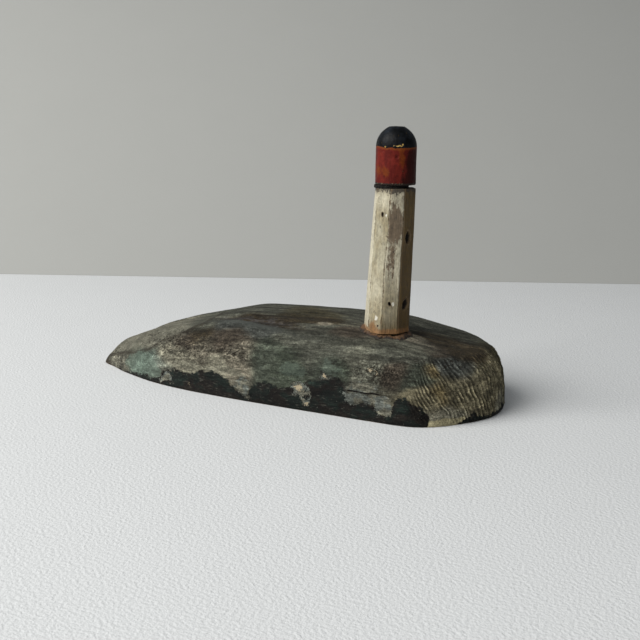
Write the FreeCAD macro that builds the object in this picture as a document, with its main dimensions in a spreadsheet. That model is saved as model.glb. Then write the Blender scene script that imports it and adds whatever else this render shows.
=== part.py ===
# A whittled model lighthouse on a carved headland, in millimetres.
# +X runs along the headland to its blunt end, -Y is the front and +Z is up.
# The origin is on the ground, under the middle of the headland.
import FreeCAD, Part
import os
import re
import Sketcher
from FreeCAD import Vector

# Every size that can be set by itself: its name, its value and what it is.
sizes = {
    # The headland, one carved block.
    "island_length": (262.0, "pointed end to blunt end"),
    "island_width": (103.0, "front to back at the widest"),
    "island_height": (44.0, "flat underside to the highest ground"),
    "nose_width": (9.0, "width left at the pointed end"),
    "nose_aside": (2.5, "how far the pointed end is behind the middle"),
    "nose_height": (9.5, "height left at the pointed end"),
    "blunt_width": (26.0, "width of the small flat left at the blunt end"),
    "blunt_height": (22.0, "height of that flat"),
    "saw_allowance": (3.0, "wood below the underside, sawn off to leave it flat"),
    "front_round": (24.0, "radius carved along the front's top edge"),
    "back_round": (18.0, "radius carved along the back's top edge"),
    # The tower's post, with eight sides.
    "tower_place_x": (64.5, "foot's centre, from the middle towards the blunt end"),
    "tower_place_y": (10.5, "foot's centre, from the middle towards the front"),
    "tower_height": (80.0, "foot to top"),
    "foot_flats": (24.6, "across flats at the foot"),
    "top_flats": (21.2, "across flats at the top"),
    "lean": (3.3, "how far the top stands to the side of the foot"),
    "lean_bearing": (18.0, "bearing of that lean from +X, degrees"),
    "corner_bearing": (2.0, "bearing of the first corner from +X, degrees"),
    "seat_drop": (2.1, "flat seat for the foot, below the highest ground"),
    "seat_margin": (0.8, "seat's edge beyond the post's corners"),
    # The windows, drilled part of the way in.
    "window_width": (4.4, "oval window from side to side"),
    "window_height": (6.8, "oval window up and down"),
    "window_depth": (5.0, "how deep the windows are drilled"),
    "upper_window": (53.5, "upper window's centre above the foot"),
    "lower_window": (16.3, "lower window's centre above the foot"),
    "nick_width": (1.3, "small drilled nicks from side to side"),
    "nick_height": (2.4, "small drilled nicks up and down"),
    "nick_depth": (2.5, "how deep the nicks are drilled"),
    "upper_nick": (66.0, "upper nick's centre above the foot"),
    "lower_nick": (17.2, "lower nick's centre above the foot"),
    # What stands on the tower.
    "disc_across": (19.2, "gallery disc from side to side"),
    "disc_thick": (1.7, "gallery disc's thickness"),
    "disc_shift": (2.1, "how far the disc sits off the lantern's axis"),
    "lantern_across": (22.2, "lantern's round stock from side to side"),
    "lantern_height": (31.0, "bottom of the lantern to its flat tip"),
    "cap_height": (10.8, "height of the rounded cap"),
    "cap_flat": (8.2, "flat left on the cap's tip"),
    "lantern_edge": (0.5, "bottom edge broken with a knife"),
    # The hidden peg under the lantern.
    "peg_across": (6.0, "peg from side to side"),
    "peg_in_tower": (14.0, "peg's length in the tower"),
    "peg_in_lantern": (13.0, "peg's length in the lantern"),
    "peg_gap": (0.05, "clearance round the peg, on the radius"),
    "peg_end_gap": (0.8, "room past each end of the peg"),
    # The hidden wood screw under the tower.
    "screw_length": (38.0, "top of the head to the tip"),
    "screw_core": (3.4, "shank from side to side"),
    "screw_head": (8.2, "countersunk head from side to side"),
    "head_height": (2.6, "height of the head's cone"),
    "tip_height": (4.0, "height of the screw's point"),
    "screw_bite": (18.0, "screw's length in the tower"),
    "slot_width": (1.1, "driver slot from side to side"),
    "slot_depth": (1.2, "driver slot's depth"),
    "screw_gap": (0.05, "clearance round the screw, on the radius"),
    "counterbore": (10.0, "access hole for the screw's head, from side to side"),
    # The bead of old glue round the tower's foot.
    "bead_reach": (1.2, "how far the bead spreads past the seat"),
    "bead_rise": (1.4, "how far the bead climbs above the highest ground"),
}

# The headland's sections from the pointed end to the blunt end: the share of its length, then the
# shares of half its width to the front and to the back, and the share of its height.
stations = [
    (0.035, 0.13, 0.34, 0.37),
    (0.100, 0.30, 0.49, 0.53),
    (0.230, 0.59, 0.80, 0.76),
    (0.410, 0.79, 0.96, 0.97),
    (0.600, 0.91, 1.00, 1.00),
    (0.760, 0.99, 0.98, 0.96),
    (0.865, 0.96, 0.87, 0.85),
    (0.940, 0.70, 0.72, 0.79),
    (0.985, 0.40, 0.42, 0.70),
]


def fillSheet(doc):
    # One row for each size: its name, its plain number and what it is.
    sheet = doc.addObject("Spreadsheet::Sheet", "sizes")
    for row, (name, (value, meaning)) in enumerate(sizes.items(), start=1):
        sheet.set("A%d" % row, name)
        sheet.set("B%d" % row, repr(value))
        sheet.set("C%d" % row, meaning)
        sheet.setAlias("B%d" % row, name)
    doc.recompute()


def bound(text):
    # The same expression with every size's name read from the sheet.
    return re.sub("[a-z_]+", lambda word: ("sizes." if word[0] in sizes else "") + word[0], text)


def newBody(doc, name):
    body = doc.addObject("PartDesign::Body", name)
    body.Label = name
    return body


def place(body, **where):
    # Binds the body's place: x, y and z, and a turn about the vertical.
    for axis in "xyz":
        if axis in where:
            body.setExpression("Placement.Base." + axis, bound(where[axis]))
    if "turn" in where:
        body.setExpression("Placement.Rotation.Angle", bound(where["turn"]))


def newSketch(body, name, role, **offset):
    # A sketch on one of the body's own planes, moved in that plane's own x, y and z.
    plane = next(item for item in body.Origin.OriginFeatures if item.Role == role)
    sketch = body.newObject("Sketcher::SketchObject", name)
    sketch.AttachmentSupport = (plane, [""])
    sketch.MapMode = "FlatFace"
    for axis, size in offset.items():
        sketch.setExpression("AttachmentOffset.Base." + axis, bound(size))
    return sketch


def limit(sketch, name, size, kind, *places):
    # A named dimension of the sketch, bound to an expression of the sheet's sizes.
    value = float(sketch.evalExpression(bound(size)))
    last = sketch.addConstraint(Sketcher.Constraint(kind, *places, value))
    sketch.renameConstraint(last, name)
    sketch.setExpression("Constraints." + name, bound(size))


def pin(sketch, edge, end, name, across, up):
    # Holds one end of an edge at its two distances from the sketch's origin.
    if across == "0":
        sketch.addConstraint(Sketcher.Constraint("PointOnObject", edge, end, -2))
    else:
        limit(sketch, name + "_across", across, "DistanceX", -1, 1, edge, end)
    if up == "0":
        sketch.addConstraint(Sketcher.Constraint("PointOnObject", edge, end, -1))
    else:
        limit(sketch, name + "_up", up, "DistanceY", -1, 1, edge, end)


def tangentArc(start, finish, heading):
    # The arc from start to finish, anticlockwise, that leaves start along heading.
    left = Vector(-heading.y, heading.x, 0)
    chord = finish - start
    radius = chord.dot(chord) / (2 * chord.dot(left))
    middle = start + left * radius
    circle = Part.Circle(middle, Vector(0, 0, 1), radius)
    return Part.ArcOfCircle(circle, circle.parameter(start), circle.parameter(finish))


def addOutline(sketch, corners):
    # A closed outline, anticlockwise. Each corner has its place and, where the edge that leaves it is
    # an arc that runs on smoothly from the edge before, the word "arc".
    spots = [Vector(*(float(sketch.evalExpression(bound(size))) for size in corner[:2]), 0)
             for corner in corners]
    count = len(corners)
    for index, corner in enumerate(corners):
        start, finish = spots[index], spots[(index + 1) % count]
        if "arc" in corner:
            heading = (start - spots[index - 1]).normalize()
            sketch.addGeometry(tangentArc(start, finish, heading), False)
        else:
            sketch.addGeometry(Part.LineSegment(start, finish), False)
    for index, corner in enumerate(corners):
        joined = "Tangent" if "arc" in corner else "Coincident"
        sketch.addConstraint(Sketcher.Constraint(joined, (index - 1) % count, 2, index, 1))
        pin(sketch, index, 1, "corner%d" % index, *corner[:2])


def addCircle(sketch, across, aside="0", up="0"):
    radius = float(sketch.evalExpression(bound(across))) / 2
    middle = Vector(*(float(sketch.evalExpression(bound(size))) for size in (aside, up)), 0)
    circle = sketch.addGeometry(Part.Circle(middle, Vector(0, 0, 1), radius), False)
    limit(sketch, "bore", across, "Diameter", circle)
    pin(sketch, circle, 3, "middle", aside, up)


def cutAway(body, sketch, length, outwards):
    # A pocket along the sketch's normal if outwards, else against it. It has to remove something.
    before = body.Shape.Volume
    pocket = body.newObject("PartDesign::Pocket", sketch.Name + "_cut")
    pocket.Profile = sketch
    pocket.Reversed = outwards
    pocket.setExpression("Length", bound(length))
    body.Document.recompute()
    if not body.Shape.Volume < before:
        raise ValueError(sketch.Name + " cuts nothing")


def turnedBody(doc, name, corners):
    # A body turned about the vertical from half its section.
    body = newBody(doc, name)
    sketch = newSketch(body, name + "_section", "XZ_Plane")
    addOutline(sketch, corners)
    turned = body.newObject("PartDesign::Revolution", name + "_turned")
    turned.Profile = sketch
    turned.ReferenceAxis = (sketch, ["V_Axis"])
    turned.Angle = 360
    return body


def addStation(body, name, along, front, back, height):
    # A section across the headland: upright sides, a flat top and a rounded edge between them.
    sketch = newSketch(body, name, "YZ_Plane", z=along)
    room = "0.45 * ( %s + %s )" % (front, back)
    frontRound = "min( front_round ; 0.7 * ( %s ) ; %s )" % (height, room)
    backRound = "min( back_round ; 0.7 * ( %s ) ; %s )" % (height, room)
    addOutline(sketch, [
        ("0 - ( %s )" % front, "0 - saw_allowance"),
        (back, "0 - saw_allowance"),
        (back, "%s - %s" % (height, backRound), "arc"),
        ("%s - %s" % (back, backRound), height),
        ("%s - ( %s )" % (frontRound, front), height, "arc"),
        ("0 - ( %s )" % front, "%s - %s" % (height, frontRound)),
    ])
    return sketch


def makeIsland(doc):
    body = newBody(doc, "island")
    nose = addStation(body, "station_nose", "0 - island_length / 2",
                      "nose_width / 2 - nose_aside", "nose_width / 2 + nose_aside", "nose_height")
    sections = []
    for index, (along, front, back, height) in enumerate(stations, start=1):
        sections.append(addStation(
            body, "station_%d" % index, "( %g - 0.5 ) * island_length" % along,
            "%g * island_width / 2" % front, "%g * island_width / 2" % back,
            "%g * island_height" % height))
    sections.append(addStation(body, "station_blunt", "island_length / 2",
                               "blunt_width / 2", "blunt_width / 2", "blunt_height"))
    carved = body.newObject("PartDesign::AdditiveLoft", "island_carved")
    carved.Profile = nose
    carved.Sections = sections
    doc.recompute()

    underside = newSketch(body, "underside", "XY_Plane")
    addOutline(underside, [
        ("0 - island_length", "0 - island_width"),
        ("island_length", "0 - island_width"),
        ("island_length", "island_width"),
        ("0 - island_length", "island_width"),
    ])
    cutAway(body, underside, "2 * saw_allowance", False)

    seat = newSketch(body, "foot_seat", "XY_Plane", z="island_height - seat_drop")
    addCircle(seat, "foot_flats / cos(22.5) + 2 * seat_margin", "tower_place_x", "0 - tower_place_y")
    cutAway(body, seat, "seat_drop + island_height", True)

    bore = newSketch(body, "screw_way", "XZ_Plane", x="tower_place_x", z="tower_place_y")
    headLevel = "island_height - seat_drop + screw_bite - screw_length"
    addOutline(bore, [
        ("0", "0"),
        ("counterbore / 2", "0"),
        ("counterbore / 2", headLevel),
        ("screw_head / 2 + screw_gap", headLevel),
        ("screw_core / 2 + screw_gap", headLevel + " + head_height"),
        ("screw_core / 2 + screw_gap", "island_height"),
        ("0", "island_height"),
    ])
    bored = body.newObject("PartDesign::Groove", "screw_bored")
    bored.Profile = bore
    bored.ReferenceAxis = (bore, ["V_Axis"])
    bored.Angle = 360
    return body


def eightCorners(flats, aside="0", up="0"):
    # The corners of a regular octagon from its size across flats.
    reach = "%s / 2 / cos(22.5)" % flats
    return [("%s + %s * cos(corner_bearing + %d)" % (aside, reach, 45 * side),
             "%s + %s * sin(corner_bearing + %d)" % (up, reach, 45 * side)) for side in range(8)]


def drillWindow(body, name, side, rise, width, height, depth):
    # A round-ended hole drilled level into one of the eight sides, which are counted from the first
    # corner. The side's face stands further out or in as the post leans and tapers.
    bearing = "( corner_bearing + %g )" % (45 * side + 22.5)
    face = ("( foot_flats + ( top_flats - foot_flats ) * {0} / tower_height ) / 2"
            " + lean * {0} / tower_height * cos( lean_bearing - {1} )").format(rise, bearing)
    floor = "( %s - %s )" % (face, depth)
    sketch = newSketch(body, name, "XZ_Plane",
                       x="%s * cos%s" % (floor, bearing), z="0 - %s * sin%s" % (floor, bearing))
    sketch.setExpression("AttachmentOffset.Rotation.Axis.y", "1")
    sketch.setExpression("AttachmentOffset.Rotation.Axis.z", "0")
    sketch.setExpression("AttachmentOffset.Rotation.Angle", bound(bearing + " + 90"))
    low = "%s - ( %s - %s ) / 2" % (rise, height, width)
    high = "%s + ( %s - %s ) / 2" % (rise, height, width)
    addOutline(sketch, [
        (width + " / 2", low),
        (width + " / 2", high, "arc"),
        ("0 - %s / 2" % width, high),
        ("0 - %s / 2" % width, low, "arc"),
    ])
    cutAway(body, sketch, "2 * " + depth, True)


def makeTower(doc):
    body = newBody(doc, "tower")
    topAside = "lean * cos( lean_bearing )"
    topUp = "lean * sin( lean_bearing )"
    foot = newSketch(body, "tower_foot", "XY_Plane")
    addOutline(foot, eightCorners("foot_flats"))
    top = newSketch(body, "tower_top", "XY_Plane", z="tower_height")
    addOutline(top, eightCorners("top_flats", topAside, topUp))
    whittled = body.newObject("PartDesign::AdditiveLoft", "tower_whittled")
    whittled.Profile = foot
    whittled.Sections = [top]
    doc.recompute()

    drillWindow(body, "window_high", 7, "upper_window", "window_width", "window_height", "window_depth")
    drillWindow(body, "window_low", 7, "lower_window", "window_width", "window_height", "window_depth")
    drillWindow(body, "nick_high", 5, "upper_nick", "nick_width", "nick_height", "nick_depth")
    drillWindow(body, "nick_low", 6, "lower_nick", "nick_width", "nick_height", "nick_depth")

    pegHole = newSketch(body, "peg_hole", "XY_Plane", z="tower_height")
    addCircle(pegHole, "peg_across + 2 * peg_gap", topAside, topUp)
    cutAway(body, pegHole, "peg_in_tower + peg_end_gap", False)
    screwHole = newSketch(body, "screw_hole", "XY_Plane")
    addCircle(screwHole, "screw_core + 2 * screw_gap")
    cutAway(body, screwHole, "screw_bite + screw_gap", True)
    place(body, x="tower_place_x", y="0 - tower_place_y", z="island_height - seat_drop")
    return body


def overTower(height="0"):
    # A place above the middle of the tower's top.
    return {"x": "tower_place_x + lean * cos( lean_bearing )",
            "y": "lean * sin( lean_bearing ) - tower_place_y",
            "z": "island_height - seat_drop + tower_height + " + height}


def makeDisc(doc):
    body = newBody(doc, "gallery_disc")
    rim = newSketch(body, "disc_rim", "XY_Plane")
    addCircle(rim, "disc_across", "0 - disc_shift")
    disc = body.newObject("PartDesign::Pad", "disc_cut_out")
    disc.Profile = rim
    disc.setExpression("Length", bound("disc_thick"))
    doc.recompute()
    hole = newSketch(body, "disc_hole", "XY_Plane")
    addCircle(hole, "peg_across + 2 * peg_gap")
    cutAway(body, hole, "disc_thick", True)
    place(body, turn="lean_bearing", **overTower())
    return body


def makeLantern(doc):
    socket = "peg_in_lantern + peg_end_gap"
    body = turnedBody(doc, "lantern", [
        ("peg_across / 2 + peg_gap", "0"),
        ("lantern_across / 2 - lantern_edge", "0"),
        ("lantern_across / 2", "lantern_edge"),
        ("lantern_across / 2", "lantern_height - cap_height", "arc"),
        ("cap_flat / 2", "lantern_height"),
        ("0", "lantern_height"),
        ("0", socket),
        ("peg_across / 2 + peg_gap", socket),
    ])
    place(body, **overTower("disc_thick"))
    return body


def makePeg(doc):
    length = "peg_in_tower + disc_thick + peg_in_lantern"
    body = turnedBody(doc, "lantern_peg", [
        ("0", "0"),
        ("peg_across / 2 - peg_end_gap", "0"),
        ("peg_across / 2", "peg_end_gap"),
        ("peg_across / 2", length + " - peg_end_gap"),
        ("peg_across / 2 - peg_end_gap", length),
        ("0", length),
    ])
    place(body, **overTower("0 - peg_in_tower"))
    return body


def makeScrew(doc):
    body = turnedBody(doc, "tower_screw", [
        ("0", "0"),
        ("screw_head / 2", "0"),
        ("screw_core / 2", "head_height"),
        ("screw_core / 2", "screw_length - tip_height"),
        ("0", "screw_length"),
    ])
    doc.recompute()
    slot = newSketch(body, "driver_slot", "XY_Plane")
    addOutline(slot, [
        ("0 - screw_head", "0 - slot_width / 2"),
        ("screw_head", "0 - slot_width / 2"),
        ("screw_head", "slot_width / 2"),
        ("0 - screw_head", "slot_width / 2"),
    ])
    cutAway(body, slot, "slot_depth", True)
    place(body, x="tower_place_x", y="0 - tower_place_y",
          z="island_height - seat_drop + screw_bite - screw_length")
    return body


def makeBead(doc, island, tower):
    # A low cone of glue, less the post that it grips and the ground that it lies on.
    corner = "foot_flats / 2 / cos(22.5)"
    blank = doc.addObject("Part::Cone", "bead_blank")
    blank.setExpression("Radius1", bound(corner + " + seat_margin + bead_reach"))
    blank.setExpression("Radius2", bound(corner + " + 0.2 * bead_reach"))
    blank.setExpression("Height", bound("seat_drop + bead_rise"))
    core = doc.addObject("Part::Cylinder", "bead_core")
    core.setExpression("Radius", bound("screw_core"))
    core.setExpression("Height", bound("seat_drop + bead_rise"))
    for solid in (blank, core):
        place(solid, x="tower_place_x", y="0 - tower_place_y", z="island_height - seat_drop")
    bead = blank
    for name, tool in (("bead_ring", core), ("bead_round_post", tower), ("foot_glue", island)):
        cut = doc.addObject("Part::Cut", name)
        cut.Base = bead
        cut.Tool = tool
        bead = cut
    bead.Label = "foot_glue"
    return bead


def checkAll(doc, pieces):
    for item in doc.Objects:
        if "Invalid" in item.State or "Error" in item.State:
            raise ValueError("%s is %s" % (item.Name, item.State))
    for piece in pieces:
        shape = piece.Shape
        if shape.isNull() or not shape.isValid() or len(shape.Solids) != 1:
            raise ValueError(piece.Label + " is not one sound solid")


def main():
    doc = FreeCAD.newDocument("lighthouse")
    fillSheet(doc)
    island = makeIsland(doc)
    tower = makeTower(doc)
    pieces = [island, tower, makeDisc(doc), makeLantern(doc), makePeg(doc), makeScrew(doc)]
    doc.recompute()
    pieces.append(makeBead(doc, island, tower))
    doc.recompute()
    checkAll(doc, pieces)
    os.makedirs("parts", exist_ok=True)
    for piece in pieces:
        piece.Shape.exportStep("parts/%s.step" % piece.Label)
        box = piece.Shape.BoundBox
        print("%-12s %9.1f mm3  x %.1f..%.1f  y %.1f..%.1f  z %.1f..%.1f" % (
            piece.Label, piece.Shape.Volume, box.XMin, box.XMax, box.YMin, box.YMax, box.ZMin, box.ZMax))


main()
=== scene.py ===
import math

import bpy
import mathutils
import numpy as np
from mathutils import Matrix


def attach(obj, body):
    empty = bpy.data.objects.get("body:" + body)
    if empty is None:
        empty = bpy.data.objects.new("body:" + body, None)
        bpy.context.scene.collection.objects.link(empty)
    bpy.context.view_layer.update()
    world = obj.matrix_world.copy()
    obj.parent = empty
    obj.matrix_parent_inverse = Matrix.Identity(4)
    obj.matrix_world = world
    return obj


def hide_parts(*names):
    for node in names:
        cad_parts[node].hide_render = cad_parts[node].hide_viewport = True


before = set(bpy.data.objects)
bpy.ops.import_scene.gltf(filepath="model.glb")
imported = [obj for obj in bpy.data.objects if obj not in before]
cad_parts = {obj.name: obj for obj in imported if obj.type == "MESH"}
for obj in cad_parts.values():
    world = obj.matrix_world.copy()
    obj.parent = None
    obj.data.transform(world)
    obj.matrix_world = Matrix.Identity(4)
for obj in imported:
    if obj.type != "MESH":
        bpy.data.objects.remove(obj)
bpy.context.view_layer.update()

mm = 0.001  # shapes are worked out in millimetres and written to meshes in metres


# Steady noise, the same on every run.

def scatter(ix, iy, iz, seed):
    # A random number from 0 to 1 for each whole-number place: its three numbers are multiplied by
    # large odd numbers, added and stirred.
    mixed = (ix * 374761393 + iy * 668265263 + iz * 1442695041 + seed * 974634777) & 0xFFFFFFFF
    mixed = ((mixed ^ (mixed >> 13)) * 1274126177) & 0xFFFFFFFF
    return (mixed ^ (mixed >> 16)) / 4294967295.0


def noise(x, y, z, seed=0):
    # Smooth noise from -1 to 1: the random numbers at a cell's eight corners, blended by 3t^2 - 2t^3.
    x, y, z = np.broadcast_arrays(x, y, z)
    base = [np.floor(c) for c in (x, y, z)]
    part = [c - b for c, b in zip((x, y, z), base)]
    part = [t * t * (3 - 2 * t) for t in part]
    ix, iy, iz = [b.astype(np.int64) for b in base]
    total = 0
    for dx in (0, 1):
        for dy in (0, 1):
            for dz in (0, 1):
                weight = (part[0] if dx else 1 - part[0]) * (part[1] if dy else 1 - part[1])
                weight = weight * (part[2] if dz else 1 - part[2])
                total = total + weight * scatter(ix + dx, iy + dy, iz + dz, seed)
    return total * 2 - 1


def layered(x, y, z, seed=0, octaves=4, gain=0.5):
    # Noise added up over octaves, each twice as fine and gain times as strong.
    total, strength, reach = 0, 1.0, 0.0
    for octave in range(octaves):
        scale = 2 ** octave
        total = total + strength * noise(x * scale, y * scale, z * scale, seed + 17 * octave)
        reach += strength
        strength *= gain
    return total / reach


def ramp(value, low, high):
    # 0 below low, 1 above high and a smooth S between.
    t = np.clip((value - low) / (high - low), 0, 1)
    return t * t * (3 - 2 * t)


def bump(value, middle, width):
    # 1 at the middle, falling off as exp(-d^2) on both sides.
    return np.exp(-((value - middle) / width) ** 2)


def insideOf(x, z, points):
    # How far a place is inside a many-sided patch, in mm, and negative outside: the distance to the
    # nearest side, with its sign from counting the sides that a line to the right crosses.
    corners = np.array(points, float)
    nearest = np.full(x.shape, 1e9)
    inside = np.zeros(x.shape, bool)
    for (ax, az), (bx, bz) in zip(corners, np.roll(corners, -1, 0)):
        t = np.clip(((x - ax) * (bx - ax) + (z - az) * (bz - az)) / ((bx - ax) ** 2 + (bz - az) ** 2), 0, 1)
        nearest = np.minimum(nearest, np.hypot(x - ax - t * (bx - ax), z - az - t * (bz - az)))
        if az != bz:
            crosses = ((az > z) != (bz > z)) & (x < ax + (z - az) * (bx - ax) / (bz - az))
            inside ^= crosses
    return np.where(inside, nearest, -nearest)


# Curves and meshes.

def closedCurve(points, count):
    # A smooth closed curve: a periodic cubic spline through the points, read at even steps of length.
    points = np.array(points, float)
    n = len(points)
    gap = np.hypot(*(np.roll(points, -1, 0) - points).T)
    before = np.roll(gap, 1)
    system = np.zeros((n, n))
    rows = np.arange(n)
    system[rows, rows - 1] = gap
    system[rows, rows] = 2 * (gap + before)
    system[rows, (rows + 1) % n] = before
    slope = (np.roll(points, -1, 0) - points) / gap[:, None]
    speed = np.linalg.solve(system, 3 * (gap[:, None] * np.roll(slope, 1, 0) + before[:, None] * slope))
    along = np.concatenate([[0], np.cumsum(gap)])
    fine = np.linspace(0, along[-1], 6001)[:-1]
    k = np.clip(np.searchsorted(along, fine, "right") - 1, 0, n - 1)
    t = ((fine - along[k]) / gap[k])[:, None]
    nextK = (k + 1) % n
    curve = hermite(t, gap[k][:, None], points[k], speed[k], points[nextK], speed[nextK])
    length = np.concatenate([[0], np.cumsum(np.hypot(*(np.roll(curve, -1, 0) - curve).T))])
    closed = np.vstack([curve, curve[:1]])
    steps = np.linspace(0, length[-1], count + 1)[:-1] if np.isscalar(count) else count * length[-1]
    return np.column_stack([np.interp(steps, length, closed[:, axis]) for axis in (0, 1)])


def hermite(t, gap, start, startSlope, end, endSlope):
    # A cubic from start to end with these slopes, as t goes from 0 to 1 over a stretch this long.
    return ((2 * t**3 - 3 * t**2 + 1) * start + (t**3 - 2 * t**2 + t) * gap * startSlope
            + (3 * t**2 - 2 * t**3) * end + (t**3 - t**2) * gap * endSlope)


def wrappedMesh(name, rings, capStart=False, capEnd=False, seamEnd=False, ringsClosed=False):
    # Rings of points, one after another, joined by quads. A capped ring is shrunk to its middle, and a
    # seam joins each point of the last ring to the one opposite.
    count, around = rings.shape[:2]
    index = np.arange(count * around).reshape(count, around)
    if seamEnd:
        index[-1] = index[-1][np.minimum(np.arange(around), (around - np.arange(around)) % around)]
    if capStart:
        index[0] = index[0, 0]
    if capEnd:
        index[-1] = index[-1, 0]
    points = rings.reshape(-1, 3)
    used, packed = np.unique(index, return_inverse=True)
    index = packed.reshape(count, around)
    if ringsClosed:
        index = np.vstack([index, index[:1]])
    here, there = index[:-1], index[1:]
    quads = np.stack([here, np.roll(here, -1, 1), np.roll(there, -1, 1), there], -1).reshape(-1, 4)
    keep = quads != np.roll(quads, 1, 1)
    sides = keep.sum(1)
    quads, keep = quads[sides > 2], keep[sides > 2]
    sides = keep.sum(1)
    mesh = bpy.data.meshes.new(name)
    mesh.vertices.add(len(used))
    mesh.vertices.foreach_set("co", (points[used] * mm).ravel())
    mesh.loops.add(int(sides.sum()))
    mesh.loops.foreach_set("vertex_index", quads[keep])
    mesh.polygons.add(len(sides))
    mesh.polygons.foreach_set("loop_start", np.concatenate([[0], np.cumsum(sides)[:-1]]))
    mesh.polygons.foreach_set("use_smooth", np.ones(len(sides), bool))
    mesh.update(calc_edges=True)
    mesh.validate()
    piece = bpy.data.objects.new(name, mesh)
    bpy.context.collection.objects.link(piece)
    return piece, used


def addField(piece, used, name, values):
    # A number at each point of the mesh, which the piece's material reads.
    field = piece.data.attributes.new(name, "FLOAT", "POINT")
    field.data.foreach_set("value", np.broadcast_to(values, values.shape).ravel()[used].astype(np.float32))


def addTint(piece, used, name, colours):
    # A colour at each point of the mesh.
    full = np.concatenate([colours.reshape(-1, 3), np.ones((colours.size // 3, 1))], 1)[used]
    tint = piece.data.color_attributes.new(name, "FLOAT_COLOR", "POINT")
    tint.data.foreach_set("color", full.astype(np.float32).ravel())


def ringNormals(rings):
    # The outward direction at each point, from the steps to its neighbours along and around.
    along = np.gradient(rings, axis=0)
    around = np.roll(rings, -1, 1) - np.roll(rings, 1, 1)
    normal = np.cross(around, along)
    return normal / np.maximum(np.linalg.norm(normal, axis=-1, keepdims=True), 1e-9)


# Materials: a few short ways of adding nodes.

class Signal:
    # A node's output, as a value that sums and products are made of.
    def __init__(self, tree, socket):
        self.tree, self.socket = tree, socket

    def __add__(self, other):
        return calc("ADD", self, other)

    def __radd__(self, other):
        return calc("ADD", other, self)

    def __mul__(self, other):
        return calc("MULTIPLY", self, other)

    def __rmul__(self, other):
        return calc("MULTIPLY", other, self)


def put(tree, kind, inputs=None, **settings):
    # A node with its settings. An input is a fixed value or another node's output.
    made = tree.nodes.new("ShaderNode" + kind)
    for name, value in settings.items():
        setattr(made, name, value)
    for name, value in (inputs or {}).items():
        if isinstance(value, Signal):
            tree.links.new(value.socket, made.inputs[name])
        else:
            made.inputs[name].default_value = value
    return made


def derive(kind, inputs, output=0, **settings):
    # A node fed by the values given, in the tree that they come from.
    tree = next(value.tree for value in inputs.values() if isinstance(value, Signal))
    return Signal(tree, put(tree, kind, inputs, **settings).outputs[output])


def calc(operation, *values):
    return derive("Math", dict(enumerate(values)), operation=operation)


def exp(value):
    # e to this power, near enough.
    return calc("POWER", 2.718, value)


def blend(amount, under, over):
    return derive("Mix", {0: amount, 6: under, 7: over}, 2, data_type="RGBA")


def step(value, low, high):
    # 0 below low, 1 above high and a smooth S between.
    return derive("MapRange", {"Value": value, "From Min": low, "From Max": high},
                  interpolation_type="SMOOTHSTEP")


def brighter(colour, amount):
    # The colour times a number.
    return derive("VectorMath", {0: colour, "Scale": amount}, operation="SCALE")


def fieldOf(tree, name, output="Fac"):
    # What addField or addTint stored at each point.
    return Signal(tree, put(tree, "Attribute", attribute_name=name).outputs[output])


def clouds(tree, size, detail=4, roughness=0.55, shift=0.0, warp=0.0):
    # Noise about 0, from about -0.3 to 0.3, in cells of this many mm along x, y and z.
    place = Signal(tree, put(tree, "TexCoord").outputs["Object"])
    place = derive("Mapping", {"Vector": place, "Location": (shift, shift * 0.7, shift * 1.3),
                               "Scale": tuple(1000 / side for side in size)})
    made = derive("TexNoise", {"Vector": place, "Scale": 1.0, "Detail": detail, "Roughness": roughness,
                               "Distortion": warp})
    return calc("SUBTRACT", made, 0.5)


def newMaterial(name):
    material = bpy.data.materials.new(name)
    material.use_nodes = True
    tree = material.node_tree
    return material, tree, tree.nodes["Principled BSDF"]


def finishLook(shader, colour, roughness, height, relief, shine):
    # A height of 1 stands out by as many mm as relief says, and shine is how strongly it mirrors.
    tree = colour.tree
    bumped = derive("Bump", {"Strength": 1.0, "Distance": relief * mm, "Height": height})
    for name, value in (("Base Color", colour), ("Roughness", roughness), ("Normal", bumped)):
        if isinstance(value, Signal):
            tree.links.new(value.socket, shader.inputs[name])
        else:
            shader.inputs[name].default_value = value
    shader.inputs["Specular IOR Level"].default_value = shine


# The headland.

islandShape = {
    # The ground line, anticlockwise from the pointed end, along the front and back round.
    "outline": [(-131, 2), (-122, -4.5), (-111, -11.8), (-98, -18.8), (-84, -25.5), (-62, -32.8),
                (-30, -39), (10, -44), (50, -48.2), (78, -51), (92, -50.6), (104, -45.2), (117, -33.6),
                (127, -20.5), (131, -5), (130, 9), (124, 23), (112, 38), (90, 48), (52, 51.5),
                (8, 50.3), (-42, 45.5), (-82, 36), (-107, 23), (-122, 13)],
    # The ridge from end to end: where, and how high.
    "ridgeAlong": [-132, -118, -100, -75, -50, -20, 20, 60, 95, 118, 132],
    "ridgeHigh": [5.5, 16.4, 24.1, 32.1, 37.9, 43.4, 43.7, 42.8, 37.4, 34.9, 34.9],
    "spineY": -1.9,       # the line along the middle where the two sides meet
    "fall": 3.2,          # how much lower the top is 40 mm either side of the ridge
    "tilt": 0.05,         # and how much it tips towards the front
    "noseRound": 23.8,    # how far in the sides round over at the pointed end
    "bluntRound": 14.6,   # and at the blunt end
    "frontRound": 10.0,   # and how much further along the front
    "fullness": 2.3,      # 2 would be a plain ellipse, and more is boxier
    "columns": 856,
    "sideRows": 62,
    "topRows": 34,
    "footEdge": 0.4,      # the worn edge all round the ground line
    # The screw's way in from below: how wide and how high, from its closed top down to the mouth.
    "screwAt": (64.5, -10.5),
    "screwWay": [(0.01, 40.6), (1.75, 40.6), (1.75, 24.5), (4.15, 21.9), (5.0, 21.9), (5.0, 0.5), (5.4, 0)],
}


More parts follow.
